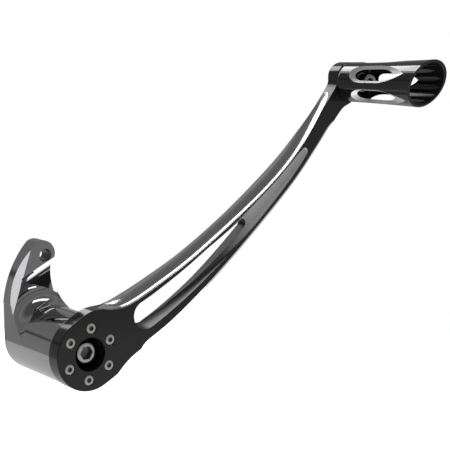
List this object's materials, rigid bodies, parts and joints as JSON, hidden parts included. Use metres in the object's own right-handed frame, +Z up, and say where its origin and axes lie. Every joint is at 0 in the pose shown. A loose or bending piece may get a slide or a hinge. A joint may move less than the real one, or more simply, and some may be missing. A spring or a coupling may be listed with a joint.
{
  "type": "motorcycle rear brake arm",
  "caption": "Rear brake foot arm for a motorcycle: a fluted flat arm screwed to a turned hub that swings on a shaft, with a linkage ear and a tubular toe peg.",
  "frame": {"origin": "centre of the end face of the pivot shaft's stud, on the pivot axis", "axes": "+Y along the pivot axis towards the motorcycle, +X along the arm from the pivot to the toe peg, +Z up"},
  "size_m": [0.2772, 0.1805, 0.218],
  "materials": {
    "shaft_steel": "machined, bright zinc plated",
    "thrust_bronze": "turned, plain",
    "blackened_washer": "blackened",
    "bright_screw_steel": "forged head, zinc plated",
    "seal_rubber": "moulded, matte",
    "bush_bronze": "sintered, oil filled",
    "dark_chrome": "polished and chromed",
    "black_anodised": "gloss black with bright cut flutes",
    "black_peg": "gloss black with bright cut slot edges",
    "peg_washer_steel": "zinc plated",
    "peg_screw_steel": "zinc plated",
    "dowel_steel": "hardened and ground",
    "small_screw_steel": "stainless steel, as forged"
  },
  "bodies": {
    "shaft": {"pivot_shaft": "shaft_steel", "pivot_screw": "bright_screw_steel", "pivot_washer": "blackened_washer", "thrust_washer": "thrust_bronze"},
    "lever": {"seal_front": "seal_rubber", "seal_rear": "seal_rubber", "bush_front": "bush_bronze", "bush_rear": "bush_bronze", "hub": "dark_chrome", "brake_arm": "black_anodised", "toe_peg": "black_peg", "peg_washer": "peg_washer_steel", "peg_screw": "peg_screw_steel", "arm_dowel_1": "dowel_steel", "arm_dowel_2": "dowel_steel", "peg_dowel": "dowel_steel", "arm_screw_1": "small_screw_steel", "arm_screw_2": "small_screw_steel", "arm_screw_3": "small_screw_steel", "arm_screw_4": "small_screw_steel", "arm_screw_5": "small_screw_steel", "arm_screw_6": "small_screw_steel"}
  },
  "joints": [
    {"name": "lever_pivot", "type": "hinge", "parent": "shaft", "child": "lever", "pos_m": [0, 0, 0], "axis": [0, 1, 0], "range_deg": [0, 15], "stiffness_Nm_per_rad": 3, "springref_deg": -34.38}
  ]
}
